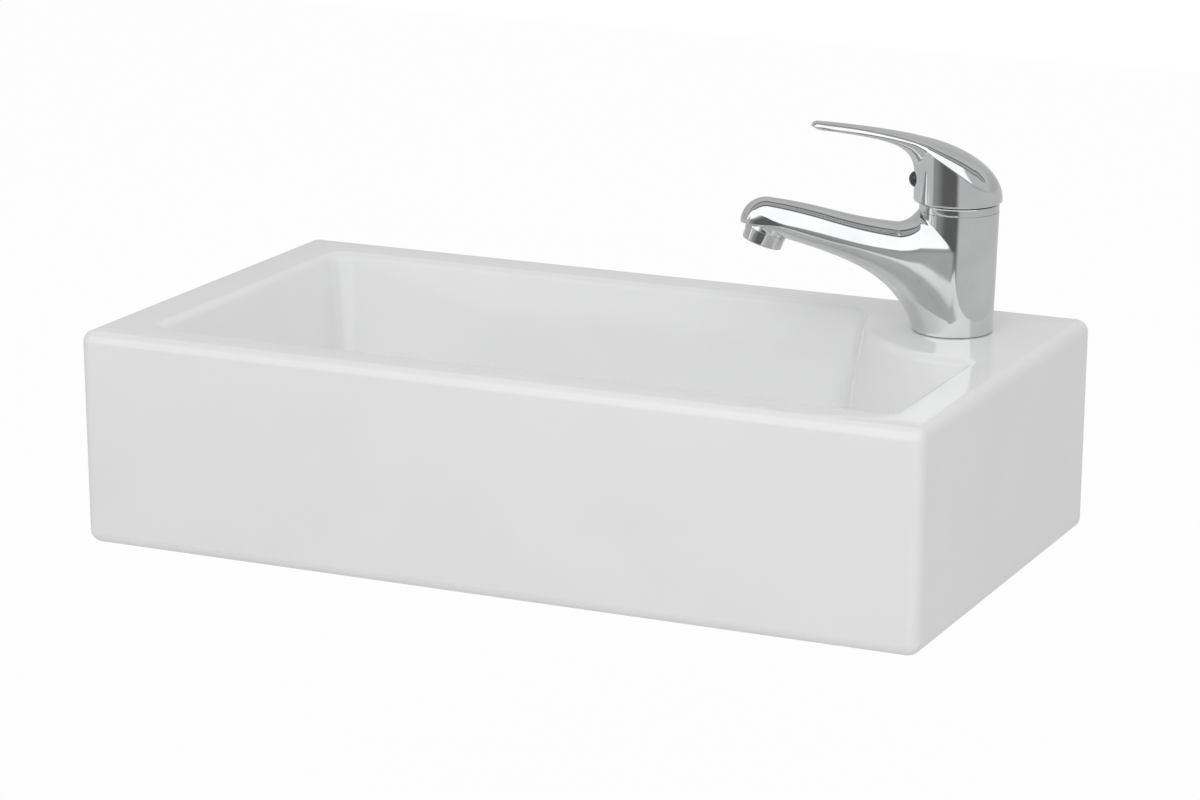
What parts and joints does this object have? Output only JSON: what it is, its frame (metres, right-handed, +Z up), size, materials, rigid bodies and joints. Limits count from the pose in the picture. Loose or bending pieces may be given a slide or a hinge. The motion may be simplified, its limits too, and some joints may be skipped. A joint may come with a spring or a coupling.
{
  "type": "washbasin with mixer tap",
  "caption": "Small wall-hung ceramic washbasin with a single-lever mixer tap on a ledge at its right and a push-button waste.",
  "frame": {"origin": "on the back face, midway between the two wall fixing holes", "axes": "+X to the right seen from the front, +Y towards the wall, +Z up"},
  "size_m": [0.4998, 0.2749, 0.2753],
  "materials": {
    "ceramic": "white vitreous china with a clear gloss glaze",
    "chrome": "polished chrome plate on brass",
    "chrome_trim": "polished chrome plate on brass, trim ring",
    "lens": "dark grey translucent plastic button, domed and glossy",
    "rubber": "black moulded rubber",
    "steel": "zinc plated or stainless steel",
    "brass": "turned yellow brass",
    "white_plastic": "white moulded plastic",
    "grey_plastic": "dark grey moulded plastic",
    "disc": "fired and lapped technical ceramic"
  },
  "bodies": {
    "root": {"basin": "ceramic", "tap_body": "chrome", "base_gasket": "rubber", "fixing_stud": "steel", "horseshoe_seal": "rubber", "horseshoe_plate": "steel", "fixing_nut": "brass", "aerator_shell": "chrome", "aerator_insert": "white_plastic", "aerator_washer": "rubber", "cartridge_base": "grey_plastic", "cartridge_seals": "rubber", "fixed_disc": "disc", "cartridge_housing": "grey_plastic", "cartridge_nut": "brass", "trim_ring": "chrome_trim", "waste_body": "chrome", "waste_top_seal": "rubber", "waste_lower_seal": "rubber", "waste_slip_washer": "white_plastic", "waste_backnut": "brass", "plug_guide": "white_plastic"},
    "rotor": {"cartridge_rotor": "white_plastic", "stem_pin": "steel"},
    "lever": {"handle": "chrome", "cartridge_stem": "brass", "grub_screw": "steel", "index_button": "lens"},
    "disc": {"moving_disc": "disc", "disc_carrier": "white_plastic"},
    "plug": {"plug_cap": "chrome", "plug_seal": "rubber", "plug_stem": "steel"}
  },
  "joints": [
    {"name": "lever_swivel", "type": "hinge", "parent": "root", "child": "rotor", "pos_m": [0.19, -0.06, 0.135], "axis": [0, 0, 1], "range_deg": [-50, 50]},
    {"name": "lever_lift", "type": "hinge", "parent": "rotor", "child": "lever", "pos_m": [0.19, -0.06, 0.135], "axis": [-0.4226, 0.9063, 0], "range_deg": [0, 25]},
    {"name": "disc_shift", "type": "slide", "parent": "rotor", "child": "disc", "axis": [-0.9063, -0.4226, 0], "range_m": [0, 0.00412]},
    {"name": "plug_lift", "type": "slide", "parent": "root", "child": "plug", "axis": [0, 0, 1], "range_m": [0, 0.007]}
  ],
  "couplings": [
    {"joint": "disc_shift", "follows": "lever_lift", "m_per_rad": 0.009425}
  ]
}
